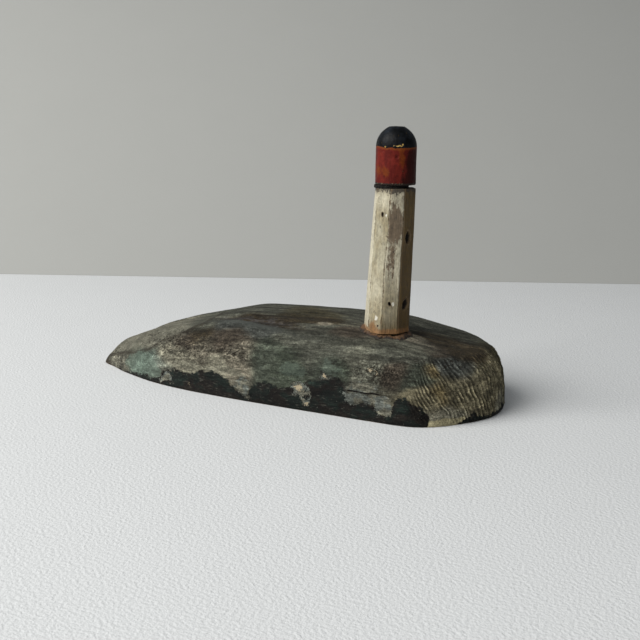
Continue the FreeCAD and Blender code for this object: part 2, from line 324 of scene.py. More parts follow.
def ridgeHeight(x):
    # The ridge's height, by a monotone cubic through its points.
    xs, ys = np.array(islandShape["ridgeAlong"], float), np.array(islandShape["ridgeHigh"], float)
    gap = np.diff(xs)
    rise = np.diff(ys) / gap
    weightA, weightB = 2 * gap[1:] + gap[:-1], gap[1:] + 2 * gap[:-1]
    same = rise[1:] * rise[:-1] > 0
    safe = np.where(same, rise[1:] * rise[:-1], 1)
    middle = np.where(same, (weightA + weightB) * safe / (weightA * rise[1:] + weightB * rise[:-1]), 0)
    slope = np.concatenate([[rise[0]], middle, [rise[-1]]])
    x = np.clip(x, xs[0], xs[-1])
    k = np.clip(np.searchsorted(xs, x, "right") - 1, 0, len(xs) - 2)
    t = (x - xs[k]) / gap[k]
    return hermite(t, gap[k], ys[k], slope[k], ys[k + 1], slope[k + 1])


def islandGround(x, y):
    # The top's height: the ridge, falling away to both sides and tipped a little to the front.
    aside = y - islandShape["spineY"]
    return ridgeHeight(x) - islandShape["fall"] * (aside / 40) ** 2 + islandShape["tilt"] * aside


def islandRings():
    # From the closed top of the screw's way in, down it and out under the block to the ground line. Each
    # column then climbs the side as a quarter of a squarish ellipse, and runs on over the top to a spine
    # along the middle, where it meets the column from the other side.
    shape = islandShape
    half = shape["columns"] // 2
    many = 3000
    even = closedCurve(shape["outline"], many)
    crowding = 1 + 1.3 * ramp(even[:, 0], 70, 100) + 0.25 * (even[:, 1] < 0)
    side = np.argmax(even[:, 0])
    share = np.concatenate([[0], np.cumsum(crowding)])
    place = np.arange(many + 1) / many
    halves = [np.interp(np.linspace(share[a], share[b], half + 1)[:-1], share, place)
              for a, b in ((0, side), (side, many))]
    edge = closedCurve(shape["outline"], np.concatenate(halves))
    opposite = edge[(-np.arange(2 * half)) % (2 * half)]
    meanX = (edge[:, 0] + opposite[:, 0]) / 2
    spineX = 0.9 * (np.clip(meanX, -100, 95) + 0.05 * (meanX - np.clip(meanX, -100, 95)))
    spine = np.column_stack([spineX, np.full(2 * half, shape["spineY"])])
    reach = np.hypot(*(spine - edge).T)
    heading = (spine - edge) / reach[:, None]
    middling = np.clip(1 - (np.abs(edge[:, 0] - 10) / 105) ** 4, 0, 1)
    rounding = shape["noseRound"] + (shape["bluntRound"] - shape["noseRound"]) * (edge[:, 0] + 131) / 262
    rounding = rounding + shape["frontRound"] * middling * np.clip(-edge[:, 1] / 25, 0, 1)
    rounding = np.minimum(rounding, 0.95 * reach)
    # Rows stand closer together where the front has its crack
    even = np.linspace(0, 1, 400)
    crowding = 1 + 1.6 * bump(even * math.pi / 2, 0.31, 0.05)
    share = np.concatenate([[0], np.cumsum(crowding)[:-1]]) / crowding.sum()
    turn = np.interp(np.linspace(0, 1, shape["sideRows"]), share / share[-1], even)
    turn = (math.pi / 2 * turn)[:, None]
    power = 2 / shape["fullness"]
    across = np.linspace(0, 1, shape["topRows"] + 1)[1:, None]
    inset = np.concatenate([rounding * (1 - np.cos(turn) ** power), rounding + (reach - rounding) * across])
    climb = np.concatenate([np.sin(turn) ** power, np.ones((shape["topRows"], 1))])
    flat = edge + heading * inset[..., None]
    high = islandGround(flat[..., 0], flat[..., 1]) * climb
    high[0] = shape["footEdge"]
    upper = np.concatenate([flat, high[..., None]], -1)
    middle = np.array(shape["screwAt"])
    outward = (edge - middle) / np.hypot(*(edge - middle).T)[:, None]
    way = [np.column_stack([middle + outward * wide, np.full(2 * half, tall)])
           for wide, tall in shape["screwWay"]]
    foot = edge + heading * shape["footEdge"]
    mouth = middle + outward * shape["screwWay"][-1][0]
    under = [np.column_stack([mouth + (foot - mouth) * part, np.zeros(2 * half)])
             for part in (0.08, 0.22, 0.38, 0.55, 0.72, 0.88, 0.97, 1)]
    rings = np.concatenate([np.array(way + under), upper])
    climbed = np.cumsum(np.concatenate([[0], np.hypot(*(np.roll(edge, -1, 0) - edge).T)]))[:-1]
    return rings, np.broadcast_to(climbed, rings.shape[:2]), len(way) + len(under)


islandPaint = {
    # Paints, as the colours of their thickest parts
    "paints": {
        "slate": (0.060, 0.061, 0.047), "umber": (0.030, 0.023, 0.013), "steel": (0.045, 0.048, 0.042),
        "putty": (0.128, 0.123, 0.094), "bark": (0.054, 0.044, 0.032), "oat": (0.146, 0.131, 0.097),
        "sage": (0.047, 0.054, 0.040), "khaki": (0.136, 0.119, 0.074), "olive": (0.046, 0.040, 0.022),
        "ochre": (0.100, 0.076, 0.035), "ash": (0.082, 0.082, 0.062), "moss": (0.043, 0.051, 0.036),
        "mint": (0.120, 0.158, 0.128), "plum": (0.040, 0.036, 0.031), "fog": (0.150, 0.166, 0.135),
        "bone": (0.205, 0.193, 0.142),
    },
    # Where each paint shows on top of the block: the place, and how far it spreads
    "dabs": [
        ("putty", -122, -4, 9, 8), ("bark", -128, -1, 1, 4), ("putty", -112, -8, 13, 10),
        ("putty", -85, -12, 24, 12), ("putty", -70, -14, 29, 10), ("ash", -97, -16, 14, 8),
        ("mint", -92, -20, 12, 7), ("mint", -82, -24, 11, 8), ("fog", -76, -27, 10, 8),
        ("bone", -66, -25, 20, 7), ("bark", -60, -25, 27, 8), ("umber", -48, -26, 31, 8),
        ("oat", -43, -31, 25, 8), ("bark", -27, -30, 32, 8), ("oat", -17, -35, 25, 8),
        ("bone", -50, -33, 17, 6), ("bone", -59, -29, 20, 4), ("bone", -30, -37, 19, 6),
        ("oat", -14, -38, 19, 6), ("bark", -70, -28, 7, 6), ("slate", -50, -12, 37, 9),
        ("steel", -28, -17, 39, 7), ("steel", -8, -20, 40, 8), ("umber", -20, -8, 42, 8),
        ("umber", 4, -6, 43, 9), ("plum", -5, -13, 42, 5), ("slate", -38, -7, 40, 8),
        ("slate", -20, 8, 42, 14), ("olive", 10, 8, 44, 14), ("oat", 27, -13, 43, 3),
        ("umber", 22, -6, 43, 7), ("slate", 20, -25, 39, 10), ("bark", 45, -24, 41, 6),
        ("slate", 40, -32, 36, 9), ("sage", 2, -38, 25, 9), ("moss", 17, -40, 24, 9),
        ("slate", 30, -39, 29, 8), ("sage", 38, -41, 26, 7), ("moss", 48, -43, 23, 5),
        ("plum", 44, -44, 17, 5), ("ash", 56, -38, 32, 6), ("ash", 63, -41, 29, 6),
        ("ash", 60, -44, 22, 6), ("bark", 80, -42, 27, 6), ("slate", 75, -36, 34, 6),
        # The oat dab at (81, -13, 39), the ash dab at (91, -21, 37) and the bark dab at (95, -20, 37) are
        # painted light: they lighten the top where the tower's shadow falls
        ("ash", 84, -27, 37, 6), ("slate", 86, -34, 34, 6), ("oat", 81, -13, 39, 5),
        ("ash", 91, -21, 37, 6), ("bark", 95, -20, 37, 8), ("umber", 104, -10, 36, 9),
        ("umber", 92, -2, 38, 9), ("umber", 112, -16, 34, 7), ("sage", 92, -42, 26, 7),
        ("steel", 108, -32, 29, 6), ("steel", 116, -26, 27, 5), ("ochre", 98, -40, 28, 4),
        ("ochre", 105, -42, 17, 5), ("khaki", 110, -36, 18, 8), ("khaki", 122, -24, 20, 9),
        ("khaki", 129, -8, 18, 10), ("khaki", 98, -46, 14, 7), ("bone", 100, -48, 4, 6),
        ("bone", 110, -42, 4, 6), ("khaki", 124, -22, 10, 7), ("bone", 131, -8, 8, 6),
        ("olive", 130, 10, 20, 14), ("slate", 90, 20, 36, 18), ("slate", 40, 28, 38, 20),
        ("moss", 30, 46, 24, 16), ("slate", -30, 30, 34, 18), ("khaki", 100, 40, 18, 14),
        ("oat", -60, 34, 18, 14), ("mint", -30, 44, 12, 9), ("putty", -95, 12, 18, 14),
        ("bark", 0, 48, 12, 10), ("steel", 60, 48, 28, 12),
    ],
    # The dark paint's ragged upper edge along the front: where, and how high
    "bandAlong": [-131, -112, -90, -76, -70, -59, -51, -42, -34, -26, -21, -16, -12, -8, -6, -2, 4, 10,
                  16, 24, 32, 37, 43, 49, 52, 54, 57, 60, 63, 67, 71, 73, 79, 80.5, 83, 88, 92, 96,
                  98.5, 99, 111, 113, 116, 122, 126, 131],
    "bandHigh": [-3, 0.5, 2.5, 3, 8, 11, 11, 12, 14, 13, 10, 6, 3, 3.5, 9, 12, 14, 12, 11, 14,
                 17, 18, 20, 20, 17, 13, 9, 8.5, 10.5, 10.5, 8.5, 4.5, 4, 10, 15, 14.5, 12, 9.5, 6, -4, -4,
                 0.5, 3.6, 4.0, 2.4, 3.4],
    # And along the back
    "backAlong": [-131, -100, -70, -40, -10, 20, 50, 75, 95, 115, 131],
    "backHigh": [-3, 2, 9, 12, 8, 14, 11, 5, 9, 3, 3.4],
    # Bare flakes in the dark paint, outlined as seen from the front
    "flakes": [
        [(51, 16.5), (54, 18.6), (58, 20.4), (66, 19.4), (71, 17.4), (75, 15.6), (62, 15.8)],
        [(51, 14.6), (52, 11.5), (55, 8.6), (60, 8.6), (63, 11), (67, 10.6), (71, 9), (73, 5), (78, 3.2),
         (81, 7), (79, 12), (76, 14.8), (62, 14.9)],
        [(-17, 10), (-13, 13.5), (-7, 12), (-8, 6), (-6, 2.5), (-11, 2), (-14, 5)],
        [(20, 13), (24, 16.2), (28.5, 15), (31.6, 12), (32.4, 7.5), (30.5, 3.6), (27, 4.2), (26.5, 8),
         (23, 9)],
        [(36, 20), (38, 21.6), (42.5, 20.6), (41, 19.2), (37, 19)],
        [(-71, 5), (-66, 9), (-61, 7), (-64, 3), (-70, 2.5)],
    ],
    "flakeHole": [(28, 11.5), (30.4, 11), (30, 7.6), (27.8, 8.4)],
    # Chips down to ivory paint
    "ivory": [
        [(22, 12.6), (24.5, 14.2), (27, 12.8), (26.6, 10.8), (24, 11.2)],
        [(28, 5), (30.4, 6.6), (30.6, 4), (28.6, 3.6)],
        [(37.5, 20.2), (39, 21), (41.5, 20.3), (39, 19.7)],
        [(64, 27.6), (66.4, 27.2), (66, 26.2)], [(68, 26.6), (70.6, 25.8), (70, 25)],
        [(-49, 4), (-47.6, 6), (-47, 3.6)],
    ],
    # Sea-green patches
    "mint": [
        [(-107, 6), (-101, 12), (-93, 17), (-84, 17), (-77, 14), (-70, 10), (-67, 4), (-76, 2), (-97, 3)],
        [(12, 22), (20, 26), (30, 22), (26, 18), (14, 18)],
        [(36, 24), (38, 30), (46, 27), (50, 23), (44, 21.4)],
    ],
    "speckled": [(-60, 25, 34, 9), (-20, 27, 20, 7), (70, 26, 24, 6), (105, 33, 20, 5), (-118, 8, 14, 7)],
    # The scooped hollow on top: its middle, slope, half length and width
    "hollow": (-11, -13.5, -0.25, 33, 5.6),
    "gouges": [(-52, 16, -3.5, 0.8, 1.6), (-44, 30, -13.5, 0.7, 1.5), (-20, 48, 6, 0.6, 2.0),
               (8, 60, -21, 0.5, 1.6), (30, 100, 12, 0.5, 2.2), (-60, -10, 12, 0.6, 2.4)],
    "facet": [(-128, 6), (-108, 13), (-97, 15.4), (-84, 19.6), (-74, 26.4), (-61, 31.6), (-50, 37),
              (-42, 50), (-130, 50)],
    "whittleDeep": 0.55,  # the broad whittled planes
    "pitDeep": 0.22,      # the pits in the worn paint
    "hollowDeep": 1.9,    # the scooped hollow
    "lipHigh": 0.6,       # and the lip in front of it
    "facetDeep": 0.9,     # the slice that the knife took off at the point
    "bandThick": 0.14,    # the dark paint
    "flakeDeep": 0.16,    # and where it has flaked off
    "sawStep": 2.1,       # from one saw mark to the next
    "sawDepth": 0.45,
    "crack": (52.5, 76, 15.3, 0.42, 1.3),   # where it starts and ends, how high, its half width and depth
}


def islandFields(x, y, z, climbed, lift):
    # What is painted and cut where. Places are stirred by noise first, so that no border is smooth.
    paint = islandPaint
    front = y < -1.9
    warpX = x + 3.2 * layered(x / 9, y / 9, z / 7, 3, 3)
    warpZ = z + 1.6 * layered(x / 8, y / 8, z / 6, 9, 3)
    weights, tint = 0, 0
    for name, atX, atY, atZ, spread in paint["dabs"]:
        away = ((warpX - atX) / 1.35) ** 2 + (y - atY) ** 2 + (warpZ - atZ) ** 2
        weight = np.exp(-away / (0.62 * spread) ** 2) + 2e-5 / (1 + away / 400)
        weights = weights + weight
        tint = tint + weight[..., None] * np.array(paint["paints"][name])
    fields = {"tint": tint / weights[..., None]}
    jagX = x + 2.0 * layered(x / 6, y / 6, z / 5, 21, 4, 0.6)
    jagZ = z + 2.6 * layered(x / 6, y / 6, z / 5, 27, 5, 0.65)
    band = np.where(front, np.interp(jagX, paint["bandAlong"], paint["bandHigh"]),
                    np.interp(jagX, paint["backAlong"], paint["backHigh"]))
    fields["band"] = np.clip(band - jagZ, -5, 5)
    hole = insideOf(jagX, jagZ, paint["flakeHole"])
    flake = np.max([insideOf(jagX, jagZ, patch) for patch in paint["flakes"]], 0)
    fields["flake"] = np.where(front, np.clip(np.minimum(flake, -hole), -5, 5), -5)
    ivory = np.max([insideOf(jagX, jagZ, patch) for patch in paint["ivory"]], 0)
    fields["ivory"] = np.where(front, np.clip(ivory, -5, 5), -5)
    mint = np.max([insideOf(warpX, warpZ, patch) for patch in paint["mint"]], 0)
    fields["mint"] = np.where(front, np.clip(mint, -5, 5), -5)
    fields["mintDepth"] = 0.3 + 0.35 * (1 - ramp(x, -75, -20))
    fields["speckle"] = np.max([np.exp(-((warpX - a) / c) ** 2 - ((warpZ - b) / d) ** 2)
                                for a, b, c, d in paint["speckled"]], 0) * (1 - 0.6 * (lift > 0.9))
    cream = bump(warpZ - np.interp(x, [-60, -40, -24, -12], [15.5, 15, 17, 14]), 0, 3.2)
    cream = cream * ramp(x, -66, -56) * (1 - ramp(x, -16, -2))
    corner = (1 - ramp(warpZ - 0.05 * (x - 96), 1.5, 6.0)) * ramp(x, 93, 97) * (1 - ramp(x, 115, 119))
    fields["cream"] = np.where(front, cream, 0)
    fields["corner"] = np.where(front, corner, 0)
    # Saw marks lean over at the front corner and stand upright round the end
    start = np.interp(93, x[16, :x.shape[1] // 2], climbed[0, :x.shape[1] // 2])
    along = climbed - start
    lean = 0.65 - 0.5 * ramp(along, 8, 55)
    phase = (along + lean * z) / paint["sawStep"] + 1.1 * layered(x / 12, y / 12, z / 8, 41, 4, 0.6)
    # Each mark is a narrow ridge that starts and stops along its own length
    wave = 2.2 * (0.5 + 0.5 * np.sin(2 * math.pi * phase)) ** 2.2 - 0.9
    wave = wave * (0.4 + 0.9 * ramp(noise(np.floor(phase + 0.25) * 5.7, z / 8, 0 * z, 43), -0.5, 0.5))
    region = ramp(x, 84, 97) * (1 - 0.8 * ramp(z, 31, 37)) * (0.35 + 0.65 * ramp(z, -2, 5))
    patchy = 0.45 + 0.75 * ramp(layered(x / 6, y / 6, z / 5, 47, 3), -0.35, 0.4)
    scratches = 0.9 * bump(x, 74, 13) * bump(z, 25, 6.5) * front
    fields["stroke"] = wave * np.maximum(region * patchy, scratches) * (lift < 0.93)
    facet = insideOf(x + 0.25 * (warpX - x), z + 0.3 * (warpZ - z), paint["facet"]) - 40 * (y > 12)
    # The facet mask also lightens the paint as painted light, and the crease mask darkens it as painted
    # shade
    fields["smooth"] = ramp(facet, -0.3, 0.9)
    fields["creaseShade"] = bump(facet, -1.0, 0.9)
    atX, atY, slope, halfLong, halfWide = paint["hollow"]
    along = x - atX
    across = y + 0.4 * (warpZ - z) - atY - slope * along
    fields["hollow"] = np.exp(-((along / halfLong) ** 2 + (across / halfWide) ** 2) ** 2) * (z > 30)
    # The lip mask carries a painted highlight as well as the raised lip
    fields["lip"] = bump(across, -halfWide - 2.6, 1.7) * bump(along, -4, 30) * (z > 28)
    first, last, high, halfWide = paint["crack"][:4]
    wander = high + 0.35 * noise(x / 5, 0, 0, 51)
    within = ramp(x, first, first + 2) * (1 - ramp(x, last - 4, last)) * front
    fields["crack"] = within * (1 - ramp(np.abs(z - wander), 0.3 * halfWide, 1.5 * halfWide))
    return fields


def islandRelief(x, y, z, fields, lift):
    # How far the surface stands out from the plain shape, in mm.
    paint = islandPaint
    side = 1 - ramp(lift, 0.6, 0.92)
    whittled = paint["whittleDeep"] * layered(x / 17, y / 17, z / 12, 61, 2)
    whittled = whittled + 0.2 * layered(x / 5, y / 5, z / 4, 63, 3)
    grain = 0.16 * layered(x / 26, y / 2.1, z / 2.1, 67, 3) + 0.1 * layered(x / 7, y / 3, z / 2, 69, 3)
    pits = -paint["pitDeep"] * fields["speckle"] * ramp(layered(x / 1.9, y / 1.9, z / 1.7, 71, 2), 0.05, 0.5)
    hollow = -paint["hollowDeep"] * ramp(fields["hollow"], 0.1, 0.7) + paint["lipHigh"] * fields["lip"]
    for first, last, across, deep, wide in paint["gouges"]:
        bent = across + 1.2 * noise(x / 22, 0, 0, 73)
        hollow = hollow - (deep * bump(y, bent, wide) * ramp(x, first, first + 12)
                           * (1 - ramp(x, last - 12, last)) * (z > 28))
    sliced = ramp(x, -131, -104) * (0.3 * fields["creaseShade"] - paint["facetDeep"] * fields["smooth"])
    paintStep = paint["bandThick"] * ramp(fields["band"], -0.2, 0.2)
    paintStep = paintStep - paint["flakeDeep"] * ramp(fields["flake"], -0.2, 0.2)
    cut = -paint["crack"][4] * fields["crack"]
    saw = paint["sawDepth"] * fields["stroke"] * side
    wood = side * whittled + (0.4 + 0.6 * (1 - side)) * grain
    return wood + pits + hollow + sliced + paintStep + cut + saw


def islandLook():
    material, tree, shader = newMaterial("worn_sea_paint")
    tint = fieldOf(tree, "tint", "Color")
    streak = clouds(tree, (24, 1.3, 1.3), 5, 0.6)
    thread = clouds(tree, (9, 0.45, 0.5), 4, 0.6, 11)
    fine = clouds(tree, (2.4, 1.6, 1.3), 6, 0.66, 5)
    grit = clouds(tree, (0.8, 0.8, 0.7), 4, 0.6, 3)
    ragged = clouds(tree, (3.2, 3.2, 2.4), 6, 0.68, 17)
    stroke = fieldOf(tree, "stroke")
    # Brushed paint: the tint times e^depth, where depth adds up streaks along the grain, thin threads,
    # grit, patchy mottle, dragged bristle marks, long soft sweeps and the saw marks
    mottle = clouds(tree, (5, 4, 3.2), 6, 0.7, 29)
    drag = clouds(tree, (13, 2.6, 2.2), 6, 0.68, 37, 0.5)
    sweep = clouds(tree, (36, 4.5, 4.5), 3, 0.5, 53, 0.4)
    patchy = mottle * (fieldOf(tree, "speckle") * 4.4 + 1.5)
    depth = (streak * 1.5 + thread * 1.6 + fine * 3.6 + patchy + grit * 2.4 + sweep * 3.4 + drag * 1.6
             + stroke * 0.75)
    colour = brighter(tint, exp(depth))
    # The knife facet is smoother and 1.22 times lighter, the lightening being painted light, with painted
    # shade along the crease under it; the hollow is brown and plum
    smoothLitFacet = brighter(tint, exp(depth * 0.45) * 1.22)
    colour = blend(fieldOf(tree, "smooth") * 0.85, colour, smoothLitFacet)
    colour = blend(fieldOf(tree, "creaseShade") * 0.7, colour, (0.035, 0.029, 0.020, 1))
    scooped = blend(step(clouds(tree, (7, 3, 3), 5, 0.65, 43), -0.04, 0.06), (0.030, 0.021, 0.012, 1),
                    (0.058, 0.053, 0.050, 1))
    scooped = brighter(scooped, exp(depth * 0.8))
    colour = blend(fieldOf(tree, "hollow") * 0.8, colour, scooped)
    # Painted highlight: the lip in front of the hollow is painted a paler blue-grey along the shoulder
    colour = blend(fieldOf(tree, "lip") * 0.7, colour, (0.068, 0.074, 0.066, 1))
    # Worn bluish film on the streaks that stand out
    film = step(streak + fine * 0.6, 0.08, 0.2) * 0.4
    colour = blend(film, colour, (0.075, 0.081, 0.071, 1))
    # Thin brown scratches the other way
    scratch = step(thread + mottle * 0.7, -0.17, -0.26)
    colour = blend(scratch * 0.6, colour, (0.035, 0.026, 0.016, 1))
    # Sea green, cream and rubbed patches
    mint = step(fieldOf(tree, "mint") + ragged * 12.0, -0.6, 1.6)
    colour = blend(mint * fieldOf(tree, "mintDepth"), colour,
                   brighter((0.132, 0.172, 0.136), exp(depth * 0.45)))
    cream = step(fieldOf(tree, "cream") + ragged * 1.6 + grit * 0.7, 0.52, 0.74)
    corner = step(fieldOf(tree, "corner") + ragged * 1.2, 0.4, 0.7)
    colour = blend(corner * 0.85, colour, brighter((0.42, 0.37, 0.22), exp(depth * 0.5)))
    colour = blend(cream * 0.6, colour, brighter((0.155, 0.15, 0.112), exp(depth * 0.8)))
    # Dirt specks: noise above a level, where the surface is pitted
    speck = step(clouds(tree, (1.5, 1.2, 0.9), 4, 0.6, 23) + fine * 0.8, 0.055, 0.085)
    speck = speck * (fieldOf(tree, "speckle") * 0.80 + 0.16)
    colour = blend(speck, colour, (0.013, 0.0095, 0.006, 1))
    # The dark band, brownish and greenish by turns, with scuffs
    edge = fieldOf(tree, "band") + ragged * 8.5 + grit * 4.5
    dark = step(edge, -0.12, 0.12)
    pitch = blend(step(clouds(tree, (9, 9, 6), 3, 0.5, 31), -0.06, 0.08), (0.0078, 0.0060, 0.0046, 1),
                  (0.0055, 0.0092, 0.0072, 1))
    pitch = brighter(pitch, exp(depth))
    scuff = step(thread + ragged * 0.9, 0.09, 0.24)
    pitch = blend(scuff * 0.7, pitch, (0.072, 0.069, 0.057, 1))
    dots = step(clouds(tree, (0.9, 0.9, 0.8), 3, 0.55, 47) + mottle * 0.5, 0.2, 0.26)
    pitch = blend(dots * 0.6, pitch, (0.16, 0.155, 0.13, 1))
    colour = blend(dark, colour, pitch)
    # Flakes bare of dark paint, blue-grey to cream, with dark left in their pores
    flakeEdge = fieldOf(tree, "flake") + ragged * 7.5 + grit * 5.5
    flake = step(flakeEdge, -0.1, 0.14)
    pale = blend(step(clouds(tree, (5, 5, 4), 3, 0.5, 37), -0.05, 0.08), (0.115, 0.124, 0.108, 1),
                 (0.145, 0.14, 0.107, 1))
    pale = brighter(pale, exp(depth * 0.9))
    colour = blend(flake, colour, pale)
    ivoryEdge = fieldOf(tree, "ivory") + ragged * 4.5 + grit * 3.0
    ivory = step(ivoryEdge, -0.1, 0.15)
    colour = blend(ivory, colour, (0.42, 0.35, 0.235, 1))
    # The crack is dark inside
    colour = blend(step(fieldOf(tree, "crack"), 0.25, 0.6), colour, (0.008, 0.006, 0.005, 1))
    # Underneath, bare sawn wood
    wood = brighter((0.21, 0.14, 0.08), 1.0 + streak * 2.4 + fine * 0.8)
    colour = blend(fieldOf(tree, "under"), colour, wood)
    roughness = 0.78 + dark * -0.2 + fine * 0.5 + flake * 0.2
    height = (streak * 0.5 + thread * 0.35 + fine * 0.7 + grit * 0.3 + dark * 0.16 + flake * -0.2
              + ivory * -0.12 + speck * -0.3)
    finishLook(shader, colour, roughness, height, 1.7, 0.15)
    return material


def makeIsland():
    rings, climbed, lowest = islandRings()
    normal = ringNormals(rings)
    x, y, z = np.moveaxis(rings, -1, 0)
    above = np.arange(len(rings))[:, None] >= lowest
    lift = normal[..., 2]
    fields = islandFields(x, y, z, climbed, lift)
    relief = islandRelief(x, y, z, fields, lift) * above
    relief = np.where(z < 2, np.minimum(relief, 0.05), relief)
    fields["under"] = np.where(above, 0.0, 1.0) * np.ones(x.shape)
    shaped = rings + normal * relief[..., None]
    shaped[..., 2] = np.maximum(shaped[..., 2], 0)
    # The two sides meet along one line
    shaped[-1] = (shaped[-1] + shaped[-1][(-np.arange(x.shape[1])) % x.shape[1]]) / 2
    piece, used = wrappedMesh("headland", shaped, capStart=True, seamEnd=True)
    addTint(piece, used, "tint", fields.pop("tint"))
    for name, values in fields.items():
        addField(piece, used, name, values)
    piece.data.materials.append(islandLook())
    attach(piece, "root")
    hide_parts("island")


# The tower.

towerShape = {
    "footAt": (64.5, -10.5, 41.9),
    "topAt": (67.64, -9.48, 121.9),
    "footFlats": 24.6,
    "topFlats": 21.2,
    "cornerAt": 2.0,      # bearing of the first corner, degrees
    # How far each corner strays from the true eight-sided shape, along x and y, at foot and top
    "footStray": [(0.2, -0.3), (0, 0.4), (-0.3, 0), (0.3, -0.2), (0.2, 0.1), (0.9, 0.2), (-0.1, 0.2),
                  (-0.4, 0.2)],
    "topStray": [(0.1, 0.2), (0.2, 0), (0, -0.2), (-0.2, 0.2), (0.1, -0.1), (-0.2, 0.1), (0.3, -0.1),
                 (-0.6, 0.2)],
    "wander": 0.3,        # how far the corners wander on the way up
    "scoopDeep": 0.32,    # the whittled scoops on the faces
    "grainDeep": 0.07,    # the raised grain
    "bluntDeep": 0.3,     # how much is worn off the corners everywhere
    "nibbleDeep": 0.5,    # and how much more in places
    "holeLip": 0.16,      # the raised lip round each hole
    "columns": 432,
    "rows": 214,
    # Drilled windows: face, height, sideways, half width, half height, turn in degrees and depth
    "windows": [(7, 53.6, -0.3, 2.1, 3.4, 8, 4.6), (7, 16.5, 0.3, 2.2, 3.2, -18, 4.2)],
    "nicks": [(5, 66.0, 0.4, 0.75, 1.3, 12, 2.2), (6, 17.2, -0.6, 0.7, 1.2, 30, 2.2),
              (5, 4.6, 2.6, 0.5, 0.5, 0, 0.8)],
}


def towerRings():
    # Level eight-sided sections from foot to top. Points crowd towards the corners, which are rounded a
    # little, and each face is whittled into shallow scoops.
    shape = towerShape
    turn = np.radians(shape["cornerAt"] + 45 * np.arange(8))
    unit = np.column_stack([np.cos(turn), np.sin(turn)]) / math.cos(math.pi / 8) / 2
    foot = unit * shape["footFlats"] + np.array(shape["footStray"]) + shape["footAt"][:2]
    top = unit * shape["topFlats"] + np.array(shape["topStray"]) + shape["topAt"][:2]
    each = shape["columns"] // 8
    face = np.repeat(np.arange(8), each)
    even = np.tile(np.arange(each) / each, 8)
    part = even - 0.05 * np.sin(4 * math.pi * even)
    rise = np.linspace(0, 1, shape["rows"])[:, None]
    corners = foot + (top - foot) * rise[..., None]
    wander = shape["wander"] * np.stack([noise(rise * 7 + 3 * k, 0 * rise, 0 * rise, 81 + k)[:, 0]
                                        for k in range(8)], 1)
    corners = corners + wander[..., None] * np.stack([-np.sin(turn), np.cos(turn)], -1)
    flat = corners[:, face] * (1 - part[:, None]) + corners[:, (face + 1) % 8] * part[:, None]
    edge = np.minimum(part, 1 - part)
    wide = np.hypot(*(corners[:, face] - corners[:, (face + 1) % 8]).transpose(2, 0, 1))
    fromEdge = edge * wide
    outward = np.radians(shape["cornerAt"] + 22.5 + 45 * face)
    outward = np.column_stack([np.cos(outward), np.sin(outward)])
    high = np.broadcast_to(rise * (shape["topAt"][2] - shape["footAt"][2]), fromEdge.shape)
    sideways = (part - 0.5) * wide
    scoops = shape["scoopDeep"] * layered(sideways / 9 + 7 * face, high / 15, 0 * high, 87, 2)
    grain = shape["grainDeep"] * layered(sideways / 0.8 + 11 * face, high / 18, 0 * high, 89, 3)
    nibbled = layered(high / 3.2 + 5 * face, np.round(part) + 0 * high, 0 * high, 91, 3)
    nibbled = shape["nibbleDeep"] * ramp(nibbled, 0.15, 0.6)
    blunted = -(shape["bluntDeep"] + nibbled) * (1 - ramp(fromEdge, 0, 0.9)) ** 2
    push = scoops * ramp(fromEdge, 0, 2.5) + grain + blunted
    opened = np.zeros(high.shape)
    nearHole = np.zeros(high.shape)
    for at, tall, aside, halfWide, halfHigh, turned, deep in shape["windows"] + shape["nicks"]:
        c, s = math.cos(math.radians(turned)), math.sin(math.radians(turned))
        across = (sideways - aside) * c + (high - tall) * s
        along = (high - tall) * c - (sideways - aside) * s
        ragged = 1 + 0.16 * noise(across * 1.3, along * 1.3, 0 * along, 93)
        away = np.hypot(across / halfWide, along / halfHigh) / ragged
        here = (1 - ramp(away, 0.8, 1.02)) * (face == at)
        push = push - deep * here
        push = push + shape["holeLip"] * bump(away, 1.25, 0.2) * (face == at)
        opened = np.maximum(opened, here)
        nearHole = np.maximum(nearHole, (1 - ramp(away, 1.0, 1.5)) * (face == at))
    flat = flat + outward * push[..., None]
    rings = np.concatenate([flat, (high + shape["footAt"][2])[..., None]], -1)
    return rings, fromEdge, high, sideways, opened, nearHole, np.broadcast_to(face, high.shape)


